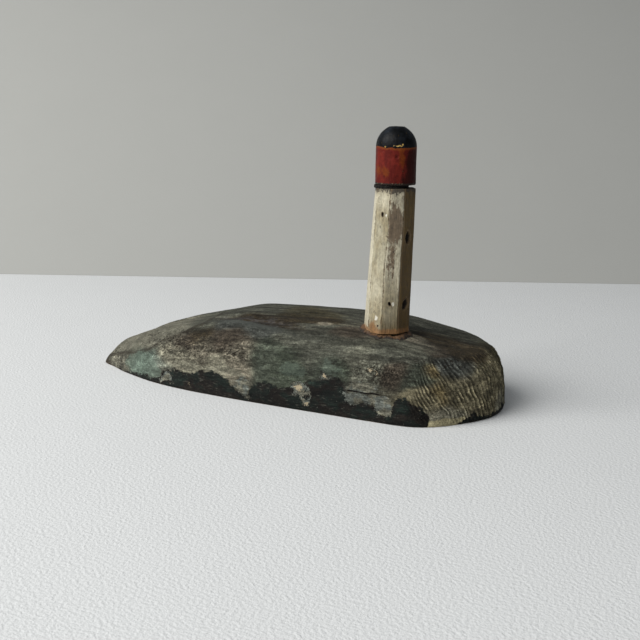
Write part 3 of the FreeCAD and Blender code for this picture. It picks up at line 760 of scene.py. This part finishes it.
def towerLook():
    material, tree, shader = newMaterial("ivory_paint_on_wood")
    grain = clouds(tree, (0.9, 0.9, 26), 5, 0.62)
    threads = clouds(tree, (0.35, 0.35, 9), 4, 0.6, 7)
    fine = clouds(tree, (1.8, 1.8, 2.6), 6, 0.66, 3)
    broad = clouds(tree, (9, 9, 16), 3, 0.5, 13)
    ragged = clouds(tree, (1.6, 1.6, 2.6), 6, 0.68, 19)
    # Ivory paint, yellowed by turns, streaked along the grain
    colour = blend(step(broad, -0.1, 0.12), (0.255, 0.215, 0.128, 1), (0.300, 0.272, 0.190, 1))
    shade = 1.0 + grain * 1.15 + threads * 0.6 + fine * 1.7 + broad * 0.5
    colour = brighter(colour, shade)
    # Painted light: a paler copy of the ivory paint on faces 3 and 4, turned towards the light, and on the
    # upper middle face, with paler bands on face 5
    colour = blend(fieldOf(tree, "litAndPale"), colour, brighter((0.50, 0.46, 0.345), shade))
    # Painted shade: the faces turned away from the light are darkened towards olive brown, and so are bands
    # near the top and the foot
    shadeAndGrime = fieldOf(tree, "shadeAndGrime")
    colour = blend(shadeAndGrime, colour, brighter((0.076, 0.043, 0.006), shade))
    # Fine dark cracks where the grain opens
    crack = step(threads + grain * 0.6 + shadeAndGrime * 0.05, 0.15, 0.22)
    colour = blend(crack * 0.65, colour, (0.12, 0.085, 0.045, 1))
    scored = step(clouds(tree, (0.5, 0.5, 60), 3, 0.6, 41), 0.13, 0.19)
    colour = blend(scored * 0.5, colour, (0.14, 0.10, 0.055, 1))
    worn = step(fieldOf(tree, "worn") + ragged * 1.7 + grain * 1.8, 0.42, 0.7)
    wornColour = brighter((0.098, 0.060, 0.033), 1.0 + fine * 1.8 + grain * 1.4)
    colour = blend(worn * 0.85, colour, wornColour)
    soot = step(fieldOf(tree, "soot") + ragged * 3.0 + grain * 1.8, 0.50, 0.62)
    colour = blend(soot * 0.85, colour, (0.022, 0.015, 0.010, 1))
    chips = step(fieldOf(tree, "arris") + ragged * 2.0, 0.56, 0.7)
    colour = blend(chips * 0.8, colour, (0.105, 0.068, 0.032, 1))
    rust = step(fieldOf(tree, "rust") + ragged * 1.5, 0.4, 0.75)
    colour = blend(rust * 0.85, colour, brighter((0.215, 0.105, 0.036), 1.0 + fine * 2.0))
    # Painted highlight: pale spots just to the right of the small holes, standing in for light on the holes'
    # far walls
    holeGlint = step(fieldOf(tree, "holeGlint") + ragged * 1.8, 0.42, 0.62)
    colour = blend(holeGlint * 0.85, colour, (0.66, 0.63, 0.54, 1))
    speck = step(clouds(tree, (0.7, 0.7, 0.9), 3, 0.5, 29), 0.17, 0.21)
    colour = blend(speck * 0.6, colour, (0.12, 0.085, 0.05, 1))
    lip = step(fieldOf(tree, "near_hole") + ragged * 1.0, 0.35, 0.75)
    colour = blend(lip * 0.7, colour, (0.15, 0.10, 0.05, 1))
    colour = blend(step(fieldOf(tree, "opened"), 0.05, 0.4), colour, (0.012, 0.008, 0.005, 1))
    roughness = 0.62 + fine * 0.5 + worn * 0.15
    height = (grain * 0.5 + threads * 0.3 + fine * 0.3 + crack * -0.12 + worn * -0.1 + chips * -0.12
              + speck * -0.15)
    finishLook(shader, colour, roughness, height, 0.7, 0.4)
    return material


def makeTower():
    rings, fromEdge, high, sideways, opened, nearHole, face = towerRings()
    # Flat ends with a broken edge
    middles = [np.array(towerShape[end]) for end in ("footAt", "topAt")]
    ends = [[middle + (ring - middle) * part for part in (0.001, 0.5, 0.97)]
            for middle, ring in zip(middles, (rings[0], rings[-1]))]
    rings[0, :, 2] += 0.25
    rings[-1, :, 2] -= 0.3
    rings = np.concatenate([ends[0], rings, ends[1][::-1]])
    piece, used = wrappedMesh("tower_post", rings, capStart=True, capEnd=True)

    def whole(values):
        return np.concatenate([np.repeat(values[:1], 3, 0), values, np.repeat(values[-1:], 3, 0)])

    middle = (face == 6) * 1.0
    worn = middle * bump(high, 61, 12) * bump(sideways, -0.2, 5.0) * 1.3
    worn = np.maximum(worn, 0.66 * middle * bump(high, 42, 15) * bump(sideways, -1.2, 3.0))
    worn = np.maximum(worn, 0.6 * middle * bump(high, 74, 8) * bump(sideways, 2.4, 2.2))
    worn = np.maximum(worn, 0.45 * (face == 5) * bump(high, 56, 10) * bump(sideways, 3.2, 2.5))
    worn = np.maximum(worn, 0.5 * (face == 2) * bump(high, 30, 16) * bump(sideways, 1, 4))
    rust = np.maximum(1.05 * bump(high, 0, 3.8),
                      0.85 * (face == 5) * bump(high, 3.5, 4.5) * bump(sideways, -1, 6))
    rust = np.maximum(rust, 0.42 * bump(high, 0, 8))
    # Painted highlight: pale spots to the right of the small holes, where light would catch their far walls
    near = 0.75 * (face == 5) * bump(high, 66, 1.3) * bump(sideways, 2.7, 1.1)
    near = np.maximum(near, (face == 6) * bump(high, 17, 1.3) * bump(sideways, 1.4, 0.9))
    near = np.maximum(near, 0.7 * (face == 5) * bump(high, 9, 1.8) * bump(sideways, 1.2, 1.6))
    # Painted shade: faces 7, 0 and 1, turned away from the light, are darkened, with darker bands near the
    # top, near the foot and low on the middle face
    shadeAndGrime = 0.97 * (face == 7) + 0.6 * (face == 0) + 0.35 * (face == 1) + 0.1 * (face == 6)
    shadeAndGrime = shadeAndGrime + 0.3 * bump(high, 80, 2.5) + 0.25 * bump(high, 0, 7)
    shadeAndGrime = shadeAndGrime + 0.35 * (face == 6) * bump(high, 0, 14)
    top = high.max()
    soot = 0.9 * bump(high, top, 2.6) + (0.1 + 0.15 * (face == 6)) * bump(high, top, 6)
    # Painted light: faces 3 and 4, turned to the light, and the upper middle face get the paler ivory to
    # lighten them; face 5 gets two paler bands
    litAndPale = 0.9 * (face == 4) + 0.75 * (face == 6) * ramp(high, 10, 40) + 0.5 * (face == 3)
    litAndPale = litAndPale + 0.5 * (face == 5) * (bump(high, 74, 7) + bump(high, 26, 12))
    lowRight = (face == 6) * (sideways > 0) + (face == 7) * (sideways < 0)
    arris = (1 - ramp(fromEdge, 0, 1.3)) * (0.58 + 0.1 * (face > 5) + 0.34 * lowRight)
    arris = arris + 0.25 * bump(high, 80, 1.5)
    for name, values in (("worn", worn), ("rust", rust), ("holeGlint", near), ("opened", opened),
                         ("near_hole", nearHole), ("litAndPale", litAndPale), ("soot", soot),
                         ("shadeAndGrime", np.clip(shadeAndGrime, 0, 0.97)), ("arris", arris)):
        addField(piece, used, name, whole(values))
    piece.data.materials.append(towerLook())
    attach(piece, "root")
    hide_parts("tower")


# The lantern and its gallery disc.

lanternShape = {
    "bottomAt": (67.64, -9.48, 123.6),
    "round": 22.2,
    "tall": 31.0,
    "capTall": 10.8,
    "tipFlat": 8.2,
    "edge": 0.7,
    "columns": 384,
    "uneven": 0.14,       # how far the side strays from round
    "dentDeep": 0.35,
    "chipDeep": 0.5,      # the chipped lower edge
    "discAt": (65.64, -10.13, 121.9),
    "discRound": 19.2,
    "discThick": 1.7,
    "discColumns": 320,
}


def turned(name, profile, middle, columns, wobble):
    # A turned solid: the profile's radius and height at each ring, pushed in or out by the wobble.
    profile = np.array(profile, float)
    angle = np.linspace(0, 2 * math.pi, columns + 1)[:-1]
    radius = profile[:, :1] * np.ones(columns)
    high = profile[:, 1:] * np.ones(columns)
    radius, high = wobble(radius, high, angle * np.ones(radius.shape))
    rings = np.stack([radius * np.cos(angle), radius * np.sin(angle), high], -1) + np.array(middle)
    piece, used = wrappedMesh(name, rings, capStart=True, capEnd=True)
    return piece, used, high, angle * np.ones(radius.shape)


def lanternProfile():
    # Straight sides, then an arc that leaves them upright and ends at the flat tip.
    shape = lanternShape
    wide, tip = shape["round"] / 2, shape["tipFlat"] / 2
    drop = wide - tip
    reach = (drop ** 2 + shape["capTall"] ** 2) / (2 * drop)
    sweep = math.asin(shape["capTall"] / reach)
    turn = np.linspace(0, sweep, 54)
    arc = np.column_stack([wide - reach + reach * np.cos(turn),
                           shape["tall"] - shape["capTall"] + reach * np.sin(turn)])
    side = np.linspace(shape["edge"], shape["tall"] - shape["capTall"], 84)[:-1]
    low = np.linspace(0, 1, 6)[:, None]
    below = np.column_stack([np.linspace(0.01, wide - shape["edge"], 12), np.zeros(12)])
    corner = np.array([wide - shape["edge"], 0]) + shape["edge"] * np.column_stack(
        [np.sin(low[:, 0] * math.pi / 2), 1 - np.cos(low[:, 0] * math.pi / 2)])
    straight = np.column_stack([np.full(83, wide), side])[1:]
    flat = np.column_stack([np.linspace(tip, 0.01, 10)[1:], np.full(9, shape["tall"])])
    flat[:, 1] += 0.25 * (1 - (flat[:, 0] / tip) ** 2)
    return np.concatenate([below, corner[1:], straight, arc, flat])


def lanternLook():
    material, tree, shader = newMaterial("oxblood_and_black_paint")
    fine = clouds(tree, (1.7, 1.7, 2.0), 6, 0.66)
    drips = clouds(tree, (2.2, 2.2, 9), 4, 0.55, 9)
    broad = clouds(tree, (7, 7, 7), 3, 0.5, 17)
    ragged = clouds(tree, (1.3, 1.3, 1.1), 6, 0.7, 23)
    # Dark red paint, thin and orange where it was brushed out
    red = blend(step(broad, -0.12, 0.12), (0.080, 0.0066, 0.0042, 1), (0.112, 0.0112, 0.0066, 1))
    red = brighter(red, 1.0 + fine * 1.2 + drips * 1.0)
    thin = step(fieldOf(tree, "thin") + drips * 0.9 + fine * 0.7, 0.35, 0.85)
    orange = brighter((0.125, 0.024, 0.004), 1.0 + fine * 1.2)
    colour = blend(thin, red, orange)
    # Painted shade on the side turned away from the light, with a dark smear at the front and darker low
    # down
    shadeSmear = step(fieldOf(tree, "shadeAndSmears") + drips * 1.3 + ragged * 0.7, 0.45, 0.9)
    colour = blend(shadeSmear * 0.8, colour, (0.008, 0.0012, 0.0008, 1))
    # The cap's black, with amber showing where its edge has worn
    above = fieldOf(tree, "above") + ragged * 1.6
    fringe = step(above, -1.5, -0.1) * (1.0 + ragged * 2.0)
    colour = blend(fringe * 0.55, colour, (0.19, 0.055, 0.009, 1))
    cap = step(above, -0.06, 0.1)
    black = blend(step(broad, -0.05, 0.15), (0.0016, 0.0020, 0.0026, 1), (0.0068, 0.0086, 0.0116, 1))
    black = brighter(black, exp(fine * 5.0))
    colour = blend(cap, colour, black)
    chip = step(fieldOf(tree, "chip") + ragged * 4.0, 0.7, 0.85)
    colour = blend(chip, colour, (0.50, 0.33, 0.10, 1))
    rim = step(fieldOf(tree, "rim") + ragged * 1.3, 0.5, 0.66)
    colour = blend(rim, colour, (0.020, 0.014, 0.011, 1))
    speck = step(clouds(tree, (0.8, 0.8, 0.7), 3, 0.5, 31), 0.15, 0.2)
    speck = speck * step(fieldOf(tree, "rim"), 0.15, 0.5)
    colour = blend(speck * 0.8, colour, (0.42, 0.33, 0.2, 1))
    roughness = 0.48 + fine * 0.6 + cap * -0.04 + shadeSmear * 0.1
    height = fine * 0.4 + drips * 0.4 + cap * 0.16 + chip * -0.14 + rim * 0.1
    finishLook(shader, colour, roughness, height, 0.6, 0.1)
    return material


def makeLantern():
    shape = lanternShape

    def wobble(radius, high, angle):
        c, s = np.cos(angle), np.sin(angle)
        soft = shape["uneven"] * layered(c * 1.3, s * 1.3, high / 9, 101, 2)
        soft = soft + 0.05 * layered(c * 6, s * 6, high / 2.5, 103, 3)
        dents = -shape["dentDeep"] * ramp(layered(c * 3.2, s * 3.2, high / 3, 107, 2), 0.45, 0.8)
        low = -shape["chipDeep"] * (1 - ramp(high, 0, 1.6))
        low = low * ramp(layered(c * 5, s * 5, 0 * high, 109, 3), -0.1, 0.5)
        ease = ramp(radius, 0.5, shape["round"] / 3)
        lifted = 0.12 * layered(radius / 2, c * 3, s * 3, 111, 3) * (high > 2)
        return radius + (soft + dents + low) * ease, high + lifted

    piece, used, high, angle = turned("lantern_room", lanternProfile(), shape["bottomAt"],
                                      shape["columns"], wobble)
    bearing = np.degrees(angle)
    line = shape["tall"] - shape["capTall"] + 0.5 * np.sin(angle * 2 + 0.6) + 0.35 * layered(
        np.cos(angle) * 4, np.sin(angle) * 4, 0 * angle, 113, 3)

    def near(at, wide, tall, spread):
        away = (bearing - at + 180) % 360 - 180
        return np.exp(-(away / wide) ** 2 - ((high - tall) / spread) ** 2)

    thin = 0.95 * near(303, 12, 14, 5.5) + 0.8 * near(232, 26, 8, 4) + 0.85 * near(258, 9, 6.5, 2.6)
    thin = thin + 0.5 * near(290, 40, 19.6, 1.6) + 0.6 * near(40, 30, 10, 6) + 0.7 * near(120, 16, 15, 4)
    # Painted shade on the side turned away from the light (bearing 345), a dark smear at the front, and
    # darker low down
    shadeAndSmears = 0.5 * (1 - ramp(high, 0, 12)) + 1.25 * near(345, 38, 10, 16) + 0.4 * near(278, 14, 11, 7)
    chip = near(290, 16, 20.9, 0.6) + 0.8 * near(303, 4, 21.8, 0.6)
    chip = chip + 0.8 * near(252, 9, 20.5, 0.4) + near(150, 8, 20.5, 0.8)
    rim = 1 - ramp(high, 0.5, 2.0)
    for name, values in (("above", np.clip(high - line, -4, 4)), ("thin", thin), ("shadeAndSmears", shadeAndSmears),
                         ("chip", chip), ("rim", rim)):
        addField(piece, used, name, values)
    piece.data.materials.append(lanternLook())
    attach(piece, "root")
    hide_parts("lantern")


def discLook():
    material, tree, shader = newMaterial("cut_black_rubber")
    fine = clouds(tree, (1.2, 1.2, 0.8), 6, 0.66)
    dust = step(clouds(tree, (1.0, 1.0, 0.6), 5, 0.6, 5), 0.08, 0.16)
    colour = brighter((0.008, 0.007, 0.006), 1.0 + fine * 2.0)
    colour = blend(dust * 0.4, colour, (0.07, 0.06, 0.045, 1))
    finishLook(shader, colour, 0.8 + fine * 0.6, fine, 0.4, 0.15)
    return material


def makeDisc():
    # A disc cut out with scissors: its rim wanders in and out and its edges are nibbled.
    shape = lanternShape
    wide, thick = shape["discRound"] / 2, shape["discThick"]
    up = np.linspace(0, 1, 12)
    profile = np.concatenate([np.column_stack([np.linspace(0.01, wide - 0.2, 10), np.zeros(10)]),
                              np.column_stack([wide - 0.2 * np.abs(2 * up - 1) ** 3, thick * up])[1:-1],
                              np.column_stack([np.linspace(wide - 0.2, 0.01, 10), np.full(10, thick)])])

    def wobble(radius, high, angle):
        c, s = np.cos(angle), np.sin(angle)
        cut = 0.25 * layered(c * 3, s * 3, 0 * c, 121, 3)
        cut = cut - 0.5 * ramp(layered(c * 9, s * 9, high / 2, 123, 3), 0.1, 0.5)
        return radius + cut * ramp(radius, wide * 0.7, wide), high
    piece = turned("gallery_ring", profile, shape["discAt"], shape["discColumns"], wobble)[0]
    piece.data.materials.append(discLook())
    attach(piece, "root")
    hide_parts("gallery_disc")


# The old glue round the tower's foot.

glueShape = {
    "reach": 3.4,         # how far its outer edge stands off the post's flats
    "rise": 1.7,          # how high it climbs the post
    "buried": 0.8,        # how far its inner edge goes inside the post
    "bottomAt": 41.0,     # the level its hidden underside goes down to
    "columns": 512,
}


def glueLook():
    material, tree, shader = newMaterial("rusty_glue")
    fine = clouds(tree, (1.3, 1.3, 1.0), 6, 0.68)
    broad = clouds(tree, (4, 4, 3), 4, 0.6, 7)
    colour = blend(step(fieldOf(tree, "out") + broad * 1.6 + fine * 1.2, 0.15, 0.65),
                   (0.110, 0.055, 0.021, 1), (0.012, 0.0065, 0.0025, 1))
    colour = brighter(colour, 1.0 + fine * 2.2)
    pale = step(broad + fine, 0.16, 0.3)
    colour = blend(pale * 0.5, colour, (0.16, 0.09, 0.038, 1))
    finishLook(shader, colour, 0.7 + fine * 0.6, fine + broad, 0.8, 0.5)
    return material


def makeGlue():
    # A low crust: each section starts inside the post, swells over its outer edge and dives
    # into the ground.
    shape = glueShape
    buried = shape["buried"]
    angle = np.linspace(0, 2 * math.pi, shape["columns"] + 1)[:-1]
    fromFlat = angle - math.radians(towerShape["cornerAt"] + 22.5)
    eight = np.cos((fromFlat + math.pi / 8) % (math.pi / 4) - math.pi / 8)
    flats = towerShape["footFlats"] / 2 / eight
    c, s = np.cos(angle), np.sin(angle)
    lump = layered(c * 4, s * 4, 0 * c, 131, 4, 0.6)
    reach = shape["reach"] * (0.32 + 0.55 * ramp(lump, -0.4, 0.4)) + 0.5 * bump(angle, 5.5, 0.7)
    rise = shape["rise"] * (0.5 + 0.5 * ramp(layered(c * 5, s * 5, 0 * c, 137, 4, 0.6), -0.4, 0.4))
    part = np.linspace(0, 1, 18)[:, None]
    out = flats - buried + (reach + buried) * np.sin(part * math.pi / 2)
    ground = islandGround(towerShape["footAt"][0] + out * c, towerShape["footAt"][1] + out * s)
    high = ground + rise * np.cos(part * math.pi / 2) ** 1.6 - 1.1 * part ** 6
    rough = 0.25 * layered(out * c / 1.5, out * s / 1.5, high / 1.5, 139, 3) * np.sin(part * math.pi)
    high = high + rough
    under = np.stack([flats - buried + (reach + buried) * 0.9, flats - buried])
    low = np.full((2, len(angle)), shape["bottomAt"])
    radius = np.concatenate([out * np.ones(angle.shape), under])
    tall = np.concatenate([high, np.minimum(low, high[-1:] - 0.1)])
    rings = np.stack([towerShape["footAt"][0] + radius * c,
                      towerShape["footAt"][1] + radius * s, tall], -1)[::-1]
    piece, used = wrappedMesh("foot_crust", rings, ringsClosed=True)
    outward = np.concatenate([part * np.ones(angle.shape), np.ones((2, len(angle)))])
    addField(piece, used, "out", outward[::-1])
    piece.data.materials.append(glueLook())
    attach(piece, "root")
    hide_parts("foot_glue")


# The hidden peg and the screw keep their exact shapes.

def pegLook():
    material, tree, shader = newMaterial("peg_wood")
    grain = clouds(tree, (0.8, 0.8, 14), 5, 0.6)
    colour = brighter((0.46, 0.31, 0.17), 1.0 + grain * 1.6)
    finishLook(shader, colour, 0.7, grain, 0.2, 0.5)
    return material


def screwLook():
    material, tree, shader = newMaterial("old_screw_steel")
    fine = clouds(tree, (1.4, 1.4, 1.4), 5, 0.65)
    spots = step(clouds(tree, (2.6, 2.6, 2.6), 5, 0.6, 9), 0.04, 0.14)
    colour = brighter((0.42, 0.40, 0.37), 1.0 + fine * 0.9)
    colour = blend(spots * 0.8, colour, (0.17, 0.08, 0.035, 1))
    shader.inputs["Metallic"].default_value = 0.85
    finishLook(shader, colour, 0.42 + spots * 0.35, fine, 0.15, 0.5)
    return material


def finishKept():
    for name, look in (("lantern_peg", pegLook()), ("tower_screw", screwLook())):
        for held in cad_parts[name].material_slots:
            held.material = look


# The setting.

view = {
    "azimuth": 20.0,      # degrees round from the front, towards the blunt end
    "pitch": 12.5,        # degrees down from level
    "roll": 0.47,         # degrees
    "place": (0.1974, -0.4850, 0.1561),
    "lens": 49.95,
    "wallAway": 0.896,    # from the camera to where the floor meets the wall
    "wallTurn": -2.6,     # degrees
    "wallSlope": 40,      # degrees up from level
    "wallLong": 1.1,
    "bend": 0.004,        # the bend's radius, from floor to wall
    "floorColour": (0.60, 0.611, 0.612),
    "wallColour": (0.335, 0.337, 0.320),
}

# Lamps: where each one is, where it points, its size in metres, its strength in watts and its colour
lamps = {
    "window": ((-1.0, -0.95, 1.25), (0.02, 0.1, 0.03), (1.5, 1.3), 49, (1.0, 0.99, 0.97)),
    "room": ((0.3, -1.6, 1.2), (0.02, 0.1, 0.05), (1.6, 1.0), 7, (1, 1, 1)),
}
sky = {"colour": (0.9, 0.95, 1.0, 1), "strength": 0.2}


def plainMaterial(name, colour, relief):
    # Matt paint with a faint orange peel.
    material, tree, shader = newMaterial(name)
    peel = clouds(tree, (1.5, 1.5, 1.5), 3, 0.5)
    tone = brighter(colour, 1.0 + clouds(tree, (60, 60, 60), 3) * 0.03)
    finishLook(shader, tone, 0.8, peel, relief, 0.2)
    return material


def makeStage():
    # A plain pale floor that turns up, in a tight bend, into a plain leaning wall.
    run, length, bend = view["wallAway"], view["wallLong"], view["bend"]
    slope = math.radians(view["wallSlope"])
    turn = np.linspace(0, slope, 8)
    curve = np.column_stack([run + bend * np.sin(turn), bend - bend * np.cos(turn)])
    top = curve[-1] + length * np.array([math.cos(slope), math.sin(slope)])
    profile = np.concatenate([[(-1.2, 0)], curve, [top]])
    across = np.linspace(-3, 3, 9)
    sweep = math.radians(view["azimuth"] + view["wallTurn"])
    forward = np.array([-math.sin(sweep), math.cos(sweep)])
    sideways = np.array([math.cos(sweep), math.sin(sweep)])
    flat = profile[:, None, :1] * forward + across[None, :, None] * sideways + np.array(view["place"][:2])
    points = np.concatenate([flat, np.broadcast_to(profile[:, None, 1:], flat.shape[:2] + (1,))], -1)
    rows, columns = points.shape[:2]
    index = np.arange(rows * columns).reshape(rows, columns)
    quads = np.stack([index[:-1, :-1], index[:-1, 1:], index[1:, 1:], index[1:, :-1]], -1).reshape(-1, 4)
    mesh = bpy.data.meshes.new("floor")
    mesh.from_pydata(points.reshape(-1, 3).tolist(), [], quads.tolist())
    mesh.materials.append(plainMaterial("floor_paint", view["floorColour"], 0.5))
    mesh.materials.append(plainMaterial("wall_paint", view["wallColour"], 0.1))
    onWall = np.repeat(np.arange(rows - 1) > 1, columns - 1).astype(int)
    mesh.polygons.foreach_set("material_index", onWall)
    floor = bpy.data.objects.new("floor", mesh)
    bpy.context.collection.objects.link(floor)


def makeCamera():
    camera = bpy.data.objects.new("camera", bpy.data.cameras.new("camera"))
    bpy.context.collection.objects.link(camera)
    camera.data.lens = view["lens"]
    camera.data.sensor_width = 36.0
    camera.data.clip_start = 0.01
    camera.location = view["place"]
    turned = (mathutils.Matrix.Rotation(math.radians(view["azimuth"]), 4, "Z")
              @ mathutils.Matrix.Rotation(math.radians(90 - view["pitch"]), 4, "X")
              @ mathutils.Matrix.Rotation(math.radians(view["roll"]), 4, "Z"))
    camera.rotation_euler = turned.to_euler()
    bpy.context.scene.camera = camera


def addLight(name, place, aim, size, strength, colour):
    lamp = bpy.data.lights.new(name, "AREA")
    lamp.shape = "RECTANGLE"
    lamp.size, lamp.size_y = size
    lamp.energy = strength
    lamp.color = colour
    light = bpy.data.objects.new(name, lamp)
    bpy.context.collection.objects.link(light)
    light.location = place
    towards = mathutils.Vector(aim) - mathutils.Vector(place)
    light.rotation_euler = towards.to_track_quat("-Z", "Y").to_euler()


def makeLights():
    # A large window to the left, a little light back from the room, and a dim sky all round.
    for name, values in lamps.items():
        addLight(name, *values)
    world = bpy.data.worlds.new("world")
    world.use_nodes = True
    world.node_tree.nodes["Background"].inputs["Color"].default_value = sky["colour"]
    world.node_tree.nodes["Background"].inputs["Strength"].default_value = sky["strength"]
    bpy.context.scene.world = world
    bpy.context.scene.view_settings.view_transform = "Standard"


makeCamera()
makeStage()
makeLights()
print("setting made")
makeIsland()
print("headland made")
makeTower()
print("tower made")
makeLantern()
makeDisc()
print("lantern and disc made")
makeGlue()
finishKept()
print("glue, peg and screw made")
